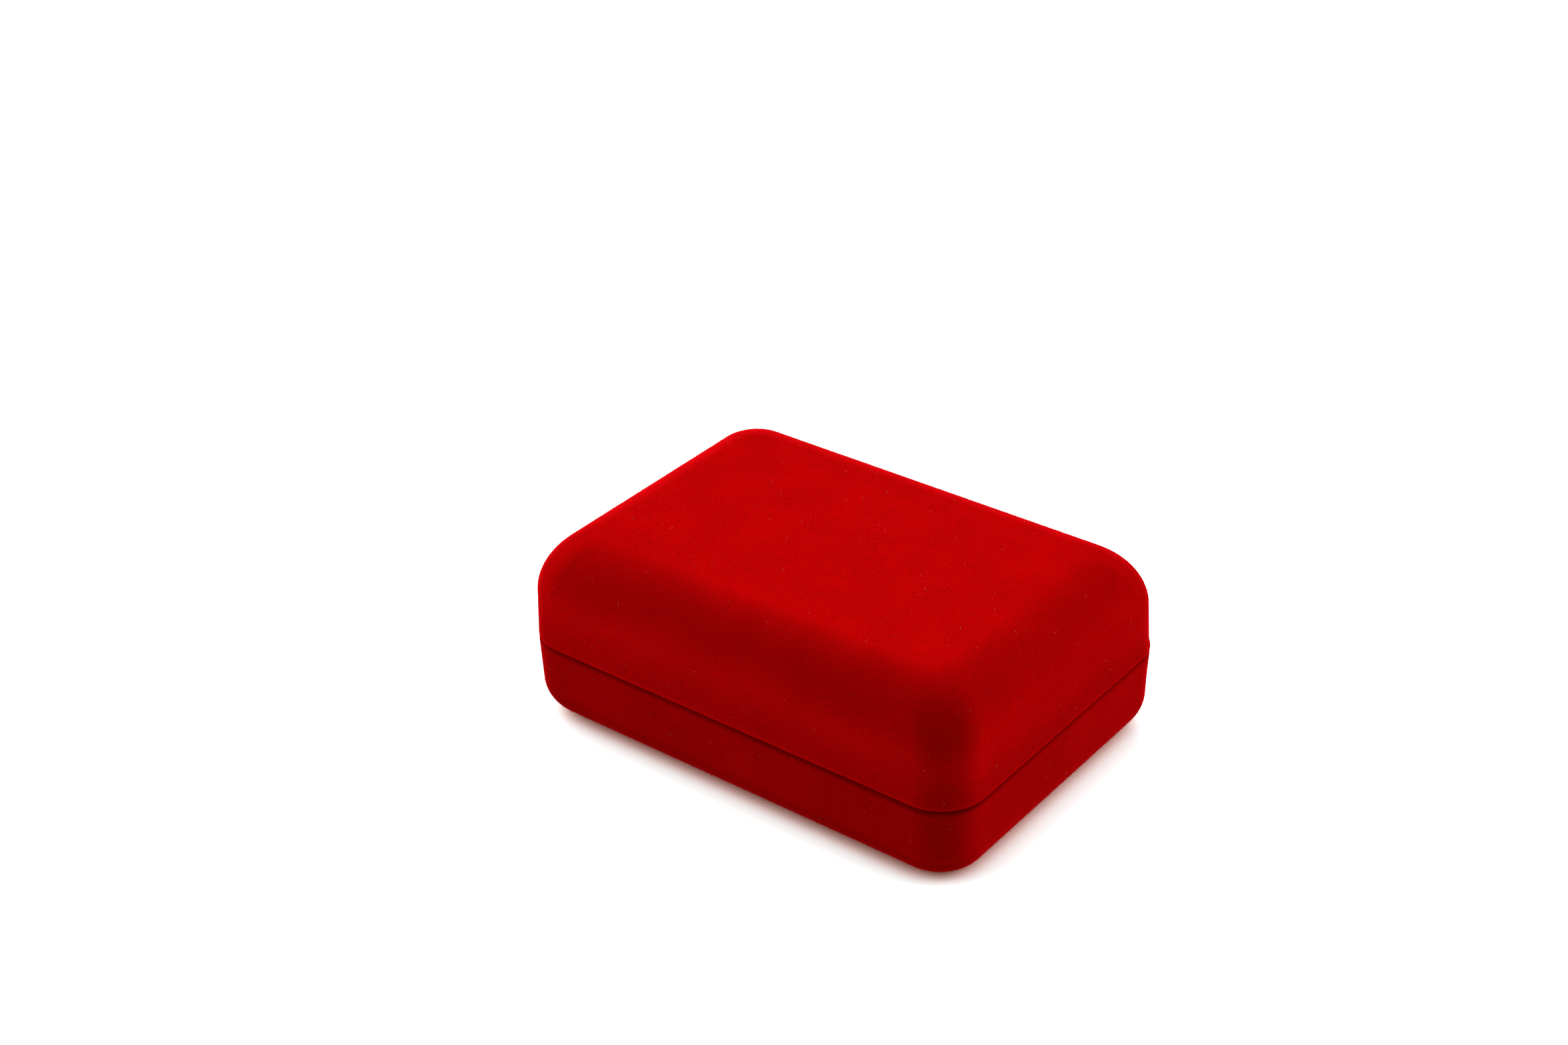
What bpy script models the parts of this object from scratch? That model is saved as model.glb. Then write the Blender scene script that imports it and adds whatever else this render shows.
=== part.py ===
"""A flocked cufflink box: two moulded half shells, a steel snap hinge at the back, a padded insert
with two slots for the cufflinks, and a padded satin liner in the lid.

Metres, +Z up. The origin is the middle of the underside. The box is long in X, it opens at -Y, and
its hinge is on the +Y side. It is modelled shut.
"""

import math

import bmesh
import bpy
from mathutils import Matrix, Vector

MM = 0.001

# Outside of the shut box
LENGTH = 85.0 * MM
DEPTH = 59.4 * MM
BASE_HEIGHT = 14.2 * MM
LID_HEIGHT = 18.34 * MM
CORNER_RADIUS = 7.8 * MM
SEAM_GAP = 0.3 * MM
WALL = 2.0 * MM
RIM_EDGE = 0.45 * MM

# How each half narrows and rounds over towards its closed end, on a curve that is an ellipse where
# its power is 2
BASE_DRAFT = math.radians(1.4)
BASE_ROUND_IN = 6.2 * MM
BASE_ROUND_DOWN = 6.2 * MM
BASE_ROUND_POWER = 2.0
BASE_CORNER_TAPER = 0.66
LID_DRAFT = math.radians(2.35)
LID_ROUND_IN = 9.76 * MM
LID_ROUND_UP = 9.81 * MM
LID_ROUND_POWER = 1.9
LID_CORNER_TAPER = 0.44
LID_CROWN = 0.5 * MM

# The lip that stands out along the back of each rim
BASE_LIP = 0.35 * MM
BASE_LIP_REACH = 6.5 * MM
LID_LIP = 0.5 * MM
LID_LIP_REACH = 2.2 * MM

# The gap that pieces which touch keep
CLEARANCE = 0.3 * MM

# Snap hinge: two steel leaves, a pin and a bowed strip that pulls from leaf to leaf
HINGE_WIDTH = 24.0 * MM
LEAF_SHEET = 0.5 * MM
LEAF_BEND = 0.8 * MM
LEAF_SINK = 0.65 * MM
PIN_RADIUS = 0.55 * MM
PIN_PLAY = 0.1 * MM
AXIS_BEHIND_LIP = 0.15 * MM
MIDDLE_KNUCKLE = 9.7 * MM
CURL_ANGLE = math.radians(290.0)
NOTCH_PLAY = 0.5 * MM
SEAT_LIP = 1.4 * MM
SEAT_CHEEK = 1.6 * MM
SEAT_GRIP = 2.0 * MM
SEAT_DROP = 2.0 * MM
SPRING_WIDTH = 9.0 * MM
SPRING_SHEET = 0.35 * MM
SPRING_BOW = 1.0 * MM
SPRING_TAIL = 1.1 * MM
HOOK_DEPTH = 5.8 * MM
HOOK_WIDTH = 3.4 * MM
HOOK_TURN = 1.3 * MM
LEAF_TAIL = 0.4 * MM

# Cufflink insert: a card platform, foam on it, and a velvet cover over both
INSERT_PLAY = 0.5 * MM
CORNER_EASE = 0.7 * MM
INSERT_CARD = 0.8 * MM
INSERT_SINK = 6.0 * MM
VELVET = 0.5 * MM
VELVET_HEM = 0.8 * MM
FOAM_EDGE = 2.2 * MM
FOAM_RISE = 1.7 * MM
FOAM_SHOULDER = 7.0 * MM
SLOT_LENGTH = 20.0 * MM
SLOT_WIDTH = 6.6 * MM
SLOT_SPACING = 34.0 * MM

# Lid liner: a card glued to the ceiling, wadding under it, and satin drawn over both
LINER_CARD = 0.8 * MM
SATIN = 0.4 * MM
WADDING_EDGE = 0.5 * MM
WADDING_RISE = 1.7 * MM
WADDING_SHOULDER = 9.0 * MM

# Fineness of the faceted curves
CORNER_STEPS = 8
ROUND_STEPS = 8
EDGE_STEPS = 3
LIP_STEPS = 4
BEND_STEPS = 4
PAD_STEPS = 5
PIN_SEGMENTS = 16
CURL_STEPS = 15
CROWN_SHARES = (0.25, 0.5, 0.75, 0.95)
LEAST_CORNER = 1.0 * MM
RIGHT_ANGLE = math.radians(90.0)

# What follows from the sizes above
HEIGHT = BASE_HEIGHT + SEAM_GAP + LID_HEIGHT
SEAM_Z = BASE_HEIGHT + SEAM_GAP / 2
LID_RIM_Z = BASE_HEIGHT + SEAM_GAP
AXIS_Y = DEPTH / 2 + max(BASE_LIP, LID_LIP) + AXIS_BEHIND_LIP
INNER_BACK_Y = DEPTH / 2 - WALL
LEAF_BACK_Y = INNER_BACK_Y + LEAF_SINK - CLEARANCE
LEAF_Y = LEAF_BACK_Y - LEAF_SHEET / 2
LEAF_FRONT_Y = LEAF_BACK_Y - LEAF_SHEET
SEAT_FRONT_Y = LEAF_FRONT_Y - CLEARANCE - SEAT_LIP
CURL_RADIUS = PIN_RADIUS + PIN_PLAY + LEAF_SHEET / 2
BARREL_RADIUS = CURL_RADIUS + LEAF_SHEET / 2
NOTCH_DEPTH = BARREL_RADIUS + NOTCH_PLAY
HOOK_END = HOOK_DEPTH + LEAF_SHEET + max(HOOK_TURN, CLEARANCE + SPRING_TAIL)
LEAF_LEG = HOOK_END + LEAF_TAIL
SPRING_Y = LEAF_FRONT_Y - CLEARANCE - SPRING_SHEET / 2
SEAT_HALF_WIDTH = HINGE_WIDTH / 2 + CLEARANCE + SEAT_CHEEK
INSERT_LEVEL = BASE_HEIGHT - INSERT_SINK
INSERT_INSET = WALL + INSERT_PLAY
FOAM_INSET = INSERT_INSET + VELVET + CLEARANCE
FOAM_BOTTOM = INSERT_LEVEL + INSERT_CARD + CLEARANCE

BASE = dict(
    height=BASE_HEIGHT,
    draft=BASE_DRAFT,
    round_in=BASE_ROUND_IN,
    round_end=BASE_ROUND_DOWN,
    power=BASE_ROUND_POWER,
    taper=BASE_CORNER_TAPER,
    crown=0.0,
    lip=BASE_LIP,
    lip_reach=BASE_LIP_REACH,
)
LID = dict(
    height=LID_HEIGHT,
    draft=LID_DRAFT,
    round_in=LID_ROUND_IN,
    round_end=LID_ROUND_UP,
    power=LID_ROUND_POWER,
    taper=LID_CORNER_TAPER,
    crown=LID_CROWN,
    lip=LID_LIP,
    lip_reach=LID_LIP_REACH,
)


def clear_scene():
    for obj in list(bpy.data.objects):
        bpy.data.objects.remove(obj, do_unlink=True)


def new_collection(name):
    collection = bpy.data.collections.new(name)
    bpy.context.scene.collection.children.link(collection)
    return collection


def new_material(name, colour, roughness, metallic=0.0):
    material = bpy.data.materials.new(name)
    material.use_nodes = True
    shader = material.node_tree.nodes["Principled BSDF"]
    shader.inputs["Base Color"].default_value = (*colour, 1.0)
    shader.inputs["Roughness"].default_value = roughness
    shader.inputs["Metallic"].default_value = metallic
    return material


clear_scene()
PARTS = new_collection("cufflink_box")
CUTTERS = new_collection("cutters")
CUTTERS.hide_render = True

FLOCK = new_material("red_flock", (0.42, 0.002, 0.003), 0.95)
VELVET_CLOTH = new_material("red_velvet", (0.33, 0.003, 0.006), 0.95)
SATIN_CLOTH = new_material("ivory_satin", (0.80, 0.74, 0.62), 0.35)
CARD = new_material("grey_card", (0.45, 0.42, 0.37), 0.9)
FOAM = new_material("white_foam", (0.82, 0.81, 0.76), 1.0)
STEEL = new_material("plated_steel", (0.62, 0.60, 0.56), 0.3, 1.0)
SPRING_STEEL = new_material("spring_steel", (0.30, 0.31, 0.34), 0.35, 1.0)


# The empty on the hinge line, which the lid's pieces hang from


def new_axis():
    axis = bpy.data.objects.new("lid_hinge_axis", None)
    axis.location = (0.0, AXIS_Y, SEAM_Z)
    axis.empty_display_size = HINGE_WIDTH
    PARTS.objects.link(axis)
    return axis


LID_AXIS = new_axis()
BASE_SIDE = -1
LID_SIDE = 1


def add_part(name, mesh, material, location=(0.0, 0.0, 0.0), on_lid=False):
    obj = bpy.data.objects.new(name, mesh)
    obj.location = location
    obj.data.materials.append(material)
    PARTS.objects.link(obj)
    if on_lid:
        obj.parent = LID_AXIS
        obj.matrix_parent_inverse = Matrix.Translation(-LID_AXIS.location)
    return obj


def add_cutter(name, mesh, location=(0.0, 0.0, 0.0)):
    obj = bpy.data.objects.new(name, mesh)
    obj.location = location
    obj.hide_render = True
    obj.display_type = "WIRE"
    CUTTERS.objects.link(obj)
    return obj


def boolean(obj, other, operation="DIFFERENCE"):
    modifier = obj.modifiers.new(operation.lower() + "_" + other.name, "BOOLEAN")
    modifier.operation = operation
    modifier.solver = "EXACT"
    modifier.object = other


def shade_smooth(mesh, angle=math.radians(30.0)):
    mesh.shade_smooth()
    mesh.set_sharp_from_angle(angle=angle)


# Rounded outlines, lofts and boxes


def rounded_rectangle(half_x, half_y, radius, back=0.0, steps=CORNER_STEPS):
    """Anticlockwise points seen from above, with the back two corners moved back by `back`."""
    radius = min(radius, half_x, half_y)
    centre_x = half_x - radius
    centre_y = half_y - radius
    points = []
    for quarter, (side_x, side_y) in enumerate(((1, -1), (1, 1), (-1, 1), (-1, -1))):
        shift = back if side_y > 0 else 0.0
        for step in range(steps + 1):
            angle = RIGHT_ANGLE * (quarter - 1 + step / steps)
            x = side_x * centre_x + radius * math.cos(angle)
            y = side_y * centre_y + shift + radius * math.sin(angle)
            points.append((x, y))
    return points


def loft(rings, name):
    """A closed solid through rings of equally many points, with its two ends filled."""
    mesh = bpy.data.meshes.new(name)
    bm = bmesh.new()
    rows = [[bm.verts.new(point) for point in ring] for ring in rings]
    for lower, upper in zip(rows, rows[1:]):
        for i in range(len(lower)):
            j = (i + 1) % len(lower)
            bm.faces.new((lower[i], lower[j], upper[j], upper[i]))
    bm.faces.new(reversed(rows[0]))
    bm.faces.new(rows[-1])
    bmesh.ops.recalc_face_normals(bm, faces=bm.faces)
    bm.to_mesh(mesh)
    bm.free()
    shade_smooth(mesh)
    return mesh


def prism(outline, low, high, name):
    return loft([[(x, y, z) for x, y in outline] for z in (low, high)], name)


def box(low, high, name):
    mesh = bpy.data.meshes.new(name)
    bm = bmesh.new()
    bmesh.ops.create_cube(bm, size=1.0)
    size = Vector(high) - Vector(low)
    middle = (Vector(high) + Vector(low)) / 2
    bmesh.ops.scale(bm, vec=size, verts=bm.verts)
    bmesh.ops.translate(bm, vec=middle, verts=bm.verts)
    bm.to_mesh(mesh)
    bm.free()
    return mesh


def strip(path, width, name):
    """Bent sheet metal: a path in Y and Z drawn out along X, as a mesh for a Solidify."""
    mesh = bpy.data.meshes.new(name)
    bm = bmesh.new()
    verts = [bm.verts.new((-width / 2, y, z)) for y, z in path]
    edges = [bm.edges.new(pair) for pair in zip(verts, verts[1:])]
    drawn = bmesh.ops.extrude_edge_only(bm, edges=edges)["geom"]
    moved = [item for item in drawn if isinstance(item, bmesh.types.BMVert)]
    bmesh.ops.translate(bm, vec=(width, 0.0, 0.0), verts=moved)
    bm.to_mesh(mesh)
    bm.free()
    shade_smooth(mesh)
    return mesh


def thicken(obj, thickness):
    solidify = obj.modifiers.new("sheet", "SOLIDIFY")
    solidify.thickness = thickness
    solidify.offset = 0.0
    solidify.use_even_offset = True


# The half shells. Heights along each run from its rim towards its closed end.


def wall_height(shell):
    return shell["height"] - shell["crown"] - shell["round_end"]


def corner_at(shell, inset):
    return max(CORNER_RADIUS - shell["taper"] * inset, WALL)


def lip_at(shell, height):
    left = max(0.0, 1.0 - height / shell["lip_reach"])
    return shell["lip"] * left * left


def round_over(shell, angle, less=0.0):
    """How far in and up the rounded edge has come, on a curve smaller all round by `less`."""
    power = 2.0 / shell["power"]
    inward = (shell["round_in"] - less) * (1.0 - math.cos(angle) ** power)
    return inward, (shell["round_end"] - less) * math.sin(angle) ** power


def outer_profile(shell):
    """(inset, height, corner radius, lip) of each ring outside, from the rim to the closed end."""
    rows = []
    for step in range(EDGE_STEPS + 1):
        angle = RIGHT_ANGLE * step / EDGE_STEPS
        inset = RIM_EDGE * (1.0 - math.sin(angle))
        rows.append((inset, RIM_EDGE * (1.0 - math.cos(angle))))
    straight = wall_height(shell)
    lip_top = min(shell["lip_reach"], straight - RIM_EDGE)
    for step in range(1, LIP_STEPS + 1):
        height = RIM_EDGE + (lip_top - RIM_EDGE) * step / LIP_STEPS
        rows.append((height * math.tan(shell["draft"]), height))
    start = straight * math.tan(shell["draft"])
    for step in range(ROUND_STEPS + 1):
        inward, up = round_over(shell, RIGHT_ANGLE * step / ROUND_STEPS)
        rows.append((start + inward, straight + up))
    if shell["crown"] > 0.0:
        edge = start + shell["round_in"]
        for share in CROWN_SHARES:
            inset = edge + share * (DEPTH / 2 - edge)
            rows.append((inset, shell["height"] - shell["crown"] * (1.0 - share) ** 2))
    return [(i, h, corner_at(shell, i), lip_at(shell, h)) for i, h in rows]


def inner_profile(shell, wall=WALL):
    """The same for a face one wall in from the outside, from the closed end to the rim."""
    straight = wall_height(shell)
    rows = [(wall - RIM_EDGE / 2, 0.0), (wall, RIM_EDGE / 2)]
    rows = [(i, h, CORNER_RADIUS - i) for i, h in rows]
    start = straight * math.tan(shell["draft"])
    for step in range(ROUND_STEPS + 1):
        angle = RIGHT_ANGLE * step / ROUND_STEPS
        corner = corner_at(shell, start + round_over(shell, angle)[0])
        inward, up = round_over(shell, angle, wall)
        rows.append((wall + start + inward, straight + up, corner - wall * math.cos(angle)))
    return [(i, h, max(radius, LEAST_CORNER), 0.0) for i, h, radius in reversed(rows)]


def inner_inset(shell, height):
    """How far the inside face lies in from the outside's rim, at a height up the shell."""
    straight = wall_height(shell)
    flat = WALL + min(height, straight) * math.tan(shell["draft"])
    if height <= straight:
        return flat
    share = min(1.0, (height - straight) / (shell["round_end"] - WALL))
    left = (1.0 - share ** shell["power"]) ** (1.0 / shell["power"])
    return flat + (shell["round_in"] - WALL) * (1.0 - left)


def height_at_inset(shell, inset):
    """The height at which the rounded inside face is that far in."""
    straight = wall_height(shell)
    past = inset - WALL - straight * math.tan(shell["draft"])
    left = 1.0 - min(1.0, max(0.0, past / (shell["round_in"] - WALL)))
    share = (1.0 - left ** shell["power"]) ** (1.0 / shell["power"])
    return straight + (shell["round_end"] - WALL) * share


def shell_loft(profile, side, name):
    rings = []
    for inset, height, radius, lip in profile:
        outline = rounded_rectangle(LENGTH / 2 - inset, DEPTH / 2 - inset, radius, lip)
        rings.append([(x, y, side * height) for x, y in outline])
    return loft(rings, name)


def half_shell(shell, side, name):
    down_outside = outer_profile(shell)[::-1]
    up_inside = inner_profile(shell)[::-1]
    return shell_loft(down_outside + up_inside, side, name)


def rim_z(side):
    return BASE_HEIGHT if side == BASE_SIDE else LID_RIM_Z


def seam_box(obj, name, half_width, y_range, depths, side, operation="DIFFERENCE"):
    """Cuts or joins a box centred in X, with its depths measured off the seam to one side."""
    levels = sorted(SEAM_Z + side * depth for depth in depths)
    low = (-half_width, y_range[0], levels[0])
    high = (half_width, y_range[1], levels[1])
    boolean(obj, add_cutter(name, box(low, high, name)), operation)


def seat_hinge(obj, shell, side, half):
    """The moulded channel that grips a leaf's edges, the slot for it and the notch in the rim."""
    name = half + "_hinge_seat"
    levels = sorted((SEAM_Z + side * SEAT_DROP, SEAM_Z + side * shell["height"]))
    low = (-SEAT_HALF_WIDTH, SEAT_FRONT_Y, levels[0])
    high = (SEAT_HALF_WIDTH, DEPTH / 2, levels[1])
    seat = add_cutter(name, box(low, high, name))
    core = shell_loft(inner_profile(shell, WALL / 2), side, half + "_core")
    boolean(seat, add_cutter(half + "_core", core, (0.0, 0.0, rim_z(side))), "INTERSECT")
    boolean(obj, seat, "UNION")

    slot_half = HINGE_WIDTH / 2 + CLEARANCE
    slot_y = (LEAF_FRONT_Y - CLEARANCE, LEAF_BACK_Y + CLEARANCE)
    slot_depths = (-WALL, LEAF_LEG + CLEARANCE)
    seam_box(obj, half + "_leaf_slot", slot_half, slot_y, slot_depths, side)
    window_half = HINGE_WIDTH / 2 - SEAT_GRIP
    window_y = (SEAT_FRONT_Y - WALL, LEAF_FRONT_Y)
    seam_box(obj, half + "_spring_window", window_half, window_y, (-WALL, LEAF_LEG), side)
    notch_y = (LEAF_BACK_Y, AXIS_Y + WALL)
    seam_box(obj, half + "_rim_notch", slot_half, notch_y, (-WALL, NOTCH_DEPTH), side)


def make_shells():
    base = add_part(
        "base_shell",
        half_shell(BASE, BASE_SIDE, "base_shell"),
        FLOCK,
        (0.0, 0.0, rim_z(BASE_SIDE)),
    )
    seat_hinge(base, BASE, BASE_SIDE, "base")
    lid = add_part(
        "lid_shell",
        half_shell(LID, LID_SIDE, "lid_shell"),
        FLOCK,
        (0.0, 0.0, rim_z(LID_SIDE)),
        on_lid=True,
    )
    seat_hinge(lid, LID, LID_SIDE, "lid")


# The snap hinge. Its pieces are drawn about the hinge line.


def leaf_path(side):
    """Centre line of a leaf: up its leg, round the bend, out along the arm and round the pin."""
    leg_y = LEAF_Y - AXIS_Y
    path = [(leg_y, side * LEAF_LEG)]
    bend_y = leg_y + LEAF_BEND
    bend_z = CURL_RADIUS + LEAF_BEND
    for step in range(BEND_STEPS + 1):
        angle = RIGHT_ANGLE * step / BEND_STEPS
        y = bend_y - LEAF_BEND * math.cos(angle)
        path.append((y, side * (bend_z - LEAF_BEND * math.sin(angle))))
    for step in range(CURL_STEPS + 1):
        angle = CURL_ANGLE * step / CURL_STEPS
        y = CURL_RADIUS * math.sin(angle)
        path.append((y, side * CURL_RADIUS * math.cos(angle)))
    return path


def knuckle_gaps(side):
    """X ranges that a leaf leaves free for the other leaf's knuckles."""
    middle = MIDDLE_KNUCKLE / 2 + CLEARANCE
    if side == BASE_SIDE:
        return [(-middle, middle)]
    end = HINGE_WIDTH / 2 + CLEARANCE
    middle -= CLEARANCE
    return [(-end, -middle), (middle, end)]


def cut_knuckles(leaf, side, half):
    reach = BARREL_RADIUS + CLEARANCE
    for index, (low, high) in enumerate(knuckle_gaps(side)):
        name = f"{half}_knuckle_gap_{index}"
        mesh = box((low, -reach, -reach), (high, reach, reach), name)
        boolean(leaf, add_cutter(name, mesh, (0.0, AXIS_Y, SEAM_Z)))


def add_hook(leaf, side, half):
    """The tongue lanced out of a leaf that the spring's slotted end hangs on, and its window."""
    half_x = HOOK_WIDTH / 2
    lip_y = SPRING_Y - SPRING_SHEET / 2 - CLEARANCE - LEAF_SHEET
    arm_depths = (HOOK_DEPTH, HOOK_DEPTH + LEAF_SHEET)
    seam_box(leaf, half + "_hook_arm", half_x, (lip_y, LEAF_Y), arm_depths, side, "UNION")
    lip_range = (lip_y, lip_y + LEAF_SHEET)
    lip_depths = (HOOK_DEPTH + LEAF_SHEET / 2, HOOK_DEPTH + LEAF_SHEET + HOOK_TURN)
    seam_box(leaf, half + "_hook_lip", half_x, lip_range, lip_depths, side, "UNION")
    window_y = (LEAF_FRONT_Y - CLEARANCE / 2, LEAF_BACK_Y + CLEARANCE)
    window_depths = (HOOK_DEPTH - HOOK_TURN - LEAF_SHEET, HOOK_DEPTH)
    seam_box(leaf, half + "_hook_window", half_x, window_y, window_depths, side)


def make_leaf(name, side, half):
    mesh = strip(leaf_path(side), HINGE_WIDTH, name)
    leaf = add_part(name, mesh, STEEL, (0.0, AXIS_Y, SEAM_Z), on_lid=side == LID_SIDE)
    thicken(leaf, LEAF_SHEET)
    cut_knuckles(leaf, side, half)
    add_hook(leaf, side, half)


def make_pin():
    mesh = bpy.data.meshes.new("hinge_pin")
    bm = bmesh.new()
    bmesh.ops.create_cone(
        bm,
        cap_ends=True,
        segments=PIN_SEGMENTS,
        radius1=PIN_RADIUS,
        radius2=PIN_RADIUS,
        depth=HINGE_WIDTH,
    )
    bm.to_mesh(mesh)
    bm.free()
    shade_smooth(mesh)
    pin = add_part("hinge_pin", mesh, STEEL, (0.0, AXIS_Y, SEAM_Z))
    pin.rotation_euler = (0.0, math.radians(90.0), 0.0)
    bevel = pin.modifiers.new("peened_ends", "BEVEL")
    bevel.width = PIN_PLAY
    bevel.segments = 2
    bevel.limit_method = "ANGLE"


def spring_path():
    """The strip lies flat on each leaf past its hook, and bows into the box between them."""
    flat_z = HOOK_DEPTH - CLEARANCE
    end_z = HOOK_DEPTH + LEAF_SHEET + CLEARANCE + SPRING_TAIL
    steps = 2 * ROUND_STEPS
    path = [(SPRING_Y, -end_z)]
    for step in range(steps + 1):
        z = flat_z * (2.0 * step / steps - 1.0)
        bow = SPRING_BOW * 0.5 * (1.0 + math.cos(math.pi * z / flat_z))
        path.append((SPRING_Y - bow, z))
    path.append((SPRING_Y, end_z))
    return path


def make_spring():
    mesh = strip(spring_path(), SPRING_WIDTH, "snap_spring")
    spring = add_part("snap_spring", mesh, SPRING_STEEL, (0.0, 0.0, SEAM_Z))
    thicken(spring, SPRING_SHEET)
    eye_half = HOOK_WIDTH / 2 + CLEARANCE
    eye_y = (SPRING_Y - SPRING_SHEET, SPRING_Y + SPRING_SHEET)
    eye_depths = (HOOK_DEPTH - CLEARANCE, HOOK_DEPTH + LEAF_SHEET + CLEARANCE)
    for side, half in ((BASE_SIDE, "base"), (LID_SIDE, "lid")):
        seam_box(spring, half + "_spring_eye", eye_half, eye_y, eye_depths, side)


# Pads: an outline with a flat foot, an upright edge and a crowned face


def pad(inset, foot, edge, crown, shoulder, corner, name):
    """Loft from the foot over the edge to the crowned face. It hangs down if crown is below foot."""
    rings = []
    levels = [(0.0, foot), (0.0, edge)]
    for step in range(1, PAD_STEPS + 1):
        angle = RIGHT_ANGLE * step / PAD_STEPS
        level = edge + (crown - edge) * math.sin(angle)
        levels.append((shoulder * (1.0 - math.cos(angle)), level))
    for more, z in levels:
        half_x = LENGTH / 2 - inset - more
        half_y = DEPTH / 2 - inset - more
        outline = rounded_rectangle(half_x, half_y, max(corner - more / 2, LEAST_CORNER))
        rings.append([(x, y, z) for x, y in outline])
    return loft(rings, name)


def insert_corner(inset):
    return CORNER_RADIUS - inset + CORNER_EASE + INSERT_PLAY


def slot_outline(grow):
    half_width = SLOT_WIDTH / 2 + grow
    half_length = SLOT_LENGTH / 2 + grow
    return rounded_rectangle(half_width, half_length, half_width)


def cut_slots(obj, grow, low, high, owner):
    """Both cufflink slots, and the notch round the hinge seat, grown all round by `grow`."""
    for index, place in enumerate((-1, 1)):
        name = f"{owner}_slot_{index}"
        mesh = prism(slot_outline(grow), low, high, name)
        boolean(obj, add_cutter(name, mesh, (place * SLOT_SPACING / 2, 0.0, 0.0)))
    half_x = SEAT_HALF_WIDTH + INSERT_PLAY + grow
    front_y = SEAT_FRONT_Y - INSERT_PLAY - grow
    name = owner + "_hinge_notch"
    mesh = box((-half_x, front_y, low), (half_x, DEPTH, high), name)
    boolean(obj, add_cutter(name, mesh))


def make_insert():
    below = -WALL
    above = HEIGHT
    skin = VELVET + CLEARANCE
    flap_inset = inner_inset(BASE, BASE_HEIGHT - INSERT_LEVEL) + INSERT_PLAY + skin
    foot_height = height_at_inset(BASE, flap_inset - CLEARANCE)
    flap_foot = BASE_HEIGHT - foot_height + CLEARANCE
    corner = insert_corner(FOAM_INSET)

    card_top = INSERT_LEVEL + INSERT_CARD
    outline = rounded_rectangle(LENGTH / 2 - FOAM_INSET, DEPTH / 2 - FOAM_INSET, corner)
    card = add_part("insert_card", prism(outline, flap_foot, card_top, "insert_card"), CARD)
    hollow = rounded_rectangle(
        LENGTH / 2 - FOAM_INSET - INSERT_CARD,
        DEPTH / 2 - FOAM_INSET - INSERT_CARD,
        corner - INSERT_CARD,
    )
    cutter = prism(hollow, below, INSERT_LEVEL, "card_hollow")
    notch_keep = INSERT_CARD + skin
    hollow_cutter = add_cutter("card_hollow", cutter)
    half_x = SEAT_HALF_WIDTH + INSERT_PLAY + notch_keep
    front_y = SEAT_FRONT_Y - INSERT_PLAY - notch_keep
    kept = box((-half_x, front_y, 2 * below), (half_x, DEPTH, above), "card_notch_wall")
    boolean(hollow_cutter, add_cutter("card_notch_wall", kept))
    boolean(card, hollow_cutter)
    cut_slots(card, skin, below, above, "card")

    edge = FOAM_BOTTOM + FOAM_EDGE
    crown = edge + FOAM_RISE
    mesh = pad(FOAM_INSET, FOAM_BOTTOM, edge, crown, FOAM_SHOULDER, corner, "insert_foam")
    foam = add_part("insert_foam", mesh, FOAM)
    cut_slots(foam, skin, below, above, "foam")

    hem = INSERT_LEVEL - VELVET_HEM
    mesh = pad(
        INSERT_INSET,
        hem,
        edge + skin,
        crown + skin,
        FOAM_SHOULDER,
        insert_corner(INSERT_INSET),
        "insert_cover",
    )
    cover = add_part("insert_cover", mesh, VELVET_CLOTH)
    mesh = pad(
        FOAM_INSET - CLEARANCE,
        below,
        edge + CLEARANCE,
        crown + CLEARANCE,
        FOAM_SHOULDER,
        insert_corner(FOAM_INSET - CLEARANCE),
        "cover_filling",
    )
    filling = add_cutter("cover_filling", mesh)
    cut_slots(filling, VELVET, 2 * below, above, "filling")
    boolean(cover, filling)
    cut_slots(cover, 0.0, 2 * below, above, "cover")


def make_liner():
    ceiling = HEIGHT - LID_CROWN - WALL
    card_top = ceiling - CLEARANCE
    satin_inset = inner_inset(LID, card_top - LID_RIM_Z) + CLEARANCE
    inset = satin_inset + SATIN + CLEARANCE
    corner = insert_corner(WALL)
    card_foot = card_top - LINER_CARD
    outline = rounded_rectangle(LENGTH / 2 - inset, DEPTH / 2 - inset, corner)
    mesh = prism(outline, card_foot, card_top, "liner_card")
    add_part("liner_card", mesh, CARD, on_lid=True)

    top = card_foot - CLEARANCE
    edge = top - WADDING_EDGE
    crown = edge - WADDING_RISE
    mesh = pad(inset, top, edge, crown, WADDING_SHOULDER, corner, "liner_wadding")
    add_part("liner_wadding", mesh, FOAM, on_lid=True)

    skin = SATIN + CLEARANCE
    mesh = pad(
        inset - skin,
        card_top,
        edge - skin,
        crown - skin,
        WADDING_SHOULDER,
        corner,
        "liner_satin",
    )
    satin = add_part("liner_satin", mesh, SATIN_CLOTH, on_lid=True)
    mesh = pad(
        inset - CLEARANCE,
        HEIGHT,
        edge - CLEARANCE,
        crown - CLEARANCE,
        WADDING_SHOULDER,
        corner,
        "satin_filling",
    )
    boolean(satin, add_cutter("satin_filling", mesh))


make_shells()
make_leaf("hinge_leaf_base", BASE_SIDE, "base")
make_leaf("hinge_leaf_lid", LID_SIDE, "lid")
make_pin()
make_spring()
make_insert()
make_liner()
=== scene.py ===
"""Looks for a flocked cufflink box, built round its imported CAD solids.

Metres, +Z up, the hinge on the +Y side. The box is shut at rest. The sections follow the box as it is
put together: the flocked halves, the steel snap hinge, the cufflink insert, the lid's liner, and then
the table, the light and the camera.
"""

import math

import bmesh
import bpy
import numpy as np
from mathutils import Matrix, Vector


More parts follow.
